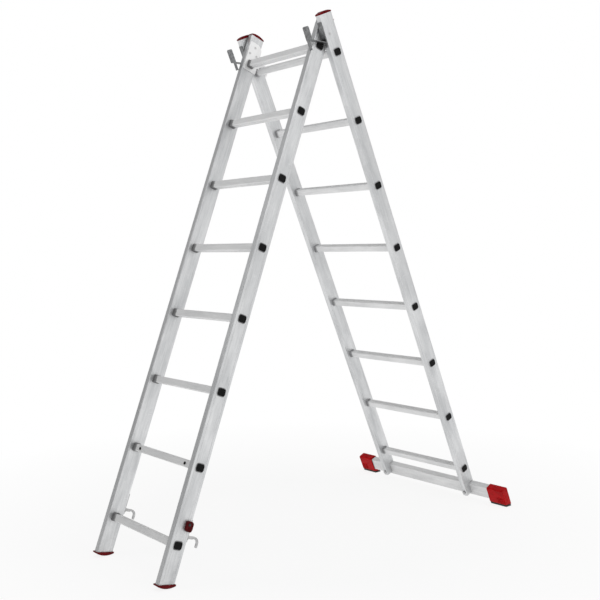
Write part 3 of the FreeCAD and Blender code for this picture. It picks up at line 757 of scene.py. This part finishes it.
def makeFloor(settings):
    # a pale floor that fades into plain white away from the object
    work = bmesh.new()
    bmesh.ops.create_grid(work, x_segments=1, y_segments=1, size=settings["size"])
    floor = addObject("floor", meshFrom(work, "floor"))
    material, tree, shader, place = newMaterial("paleFloor")
    cloud = noiseNode(tree, place, settings["cloud"])
    colour = mixColour(tree, cloud.outputs["Fac"], settings["light"], settings["dark"])
    tree.links.new(colour, shader.inputs["Base Color"])
    shader.inputs["Roughness"].default_value = settings["roughness"]
    shader.inputs["Specular IOR Level"].default_value = settings["shine"]
    distance = addNode(tree, "ShaderNodeVectorMath", {"operation": "LENGTH"})
    tree.links.new(place, distance.inputs[0])
    fade = rangeNode(tree, distance.outputs["Value"], settings["fadeStart"], settings["fadeEnd"],
                     settings["nearGlow"], 1.0)
    glow = addNode(tree, "ShaderNodeEmission", values={"Color": white})
    faded = addNode(tree, "ShaderNodeMixShader")
    tree.links.new(fade, faded.inputs[0])
    tree.links.new(shader.outputs[0], faded.inputs[1])
    tree.links.new(glow.outputs[0], faded.inputs[2])
    output = next(node for node in tree.nodes if node.bl_idname == "ShaderNodeOutputMaterial")
    tree.links.new(faded.outputs[0], output.inputs[0])
    dress(floor, material)


worldSettings = {"toward": (0.757, 0.653, 0.0), "dim": 0.27, "bright": 0.66, "backdrop": 1.0}


def makeWorld(settings):
    # the room is brighter on one side; the camera itself sees a plain white backdrop
    world = bpy.data.worlds.new("studio")
    bpy.context.scene.world = world
    world.use_nodes = True
    tree = world.node_tree
    tree.nodes.clear()
    output = tree.nodes.new("ShaderNodeOutputWorld")
    direction = tree.nodes.new("ShaderNodeTexCoord")
    toward = addNode(tree, "ShaderNodeVectorMath", {"operation": "DOT_PRODUCT"})
    toward.inputs[1].default_value = settings["toward"]
    tree.links.new(direction.outputs["Generated"], toward.inputs[0])
    strength = rangeNode(tree, toward.outputs["Value"], -1.0, 1.0, settings["dim"], settings["bright"])
    room = addNode(tree, "ShaderNodeBackground", values={"Color": white})
    tree.links.new(strength, room.inputs["Strength"])
    backdrop = addNode(tree, "ShaderNodeBackground",
                       values={"Color": white, "Strength": settings["backdrop"]})
    seen = addNode(tree, "ShaderNodeLightPath")
    either = addNode(tree, "ShaderNodeMixShader")
    tree.links.new(seen.outputs["Is Camera Ray"], either.inputs[0])
    tree.links.new(room.outputs[0], either.inputs[1])
    tree.links.new(backdrop.outputs[0], either.inputs[2])
    tree.links.new(either.outputs[0], output.inputs[0])


lightSettings = {
    "frontSoftbox": {"place": (-2.6, -4.2, 3.6), "size": 2.6, "power": 28.0},
    "sideSoftbox": {"place": (4.6, 1.2, 3.4), "size": 3.0, "power": 34.0},
    "overheadSoftbox": {"place": (0.3, 0.0, 5.2), "size": 4.5, "power": 60.0},
}
lightTarget = Vector((0, 0, 1.0))  # about the middle of the ladder


def makeLight(name, settings):
    lamp = bpy.data.lights.new(name, "AREA")
    lamp.shape = "SQUARE"
    lamp.size = settings["size"]
    lamp.energy = settings["power"]
    holder = addObject(name, lamp)
    holder.location = settings["place"]
    aim = lightTarget - Vector(settings["place"])
    holder.rotation_euler = aim.to_track_quat("-Z", "Y").to_euler()


cameraSettings = {
    "place": (2.851, -2.395, 1.194),
    "around": 49.217,
    "above": 3.816,
    "roll": -0.71,
    "sensor": 36,
    "lens": 52.62,
    "shift": (-0.01805, 0.00772),
}


def makeCamera(settings):
    around = math.radians(settings["around"])
    above = math.radians(settings["above"])
    roll = math.radians(settings["roll"])
    back = Vector((math.sin(around) * math.cos(above), -math.cos(around) * math.cos(above), math.sin(above)))
    right = Vector((math.cos(around), math.sin(around), 0))
    up = back.cross(right)
    rolledRight = math.cos(roll) * right + math.sin(roll) * up
    rolledUp = back.cross(rolledRight)
    lens = bpy.data.cameras.new("camera")
    lens.sensor_width = settings["sensor"]
    lens.lens = settings["lens"]
    lens.shift_x, lens.shift_y = settings["shift"]
    camera = addObject("camera", lens)
    turn = Matrix((rolledRight, rolledUp, back)).transposed().to_4x4()
    camera.matrix_world = Matrix.Translation(settings["place"]) @ turn
    return camera


makeFloor(floorSettings)
makeWorld(worldSettings)
for name, settings in lightSettings.items():
    makeLight(name, settings)
bpy.context.scene.camera = makeCamera(cameraSettings)
bpy.context.scene.view_settings.view_transform = "Standard"
bpy.context.scene.view_settings.look = "None"
print("floor, light and camera ready")
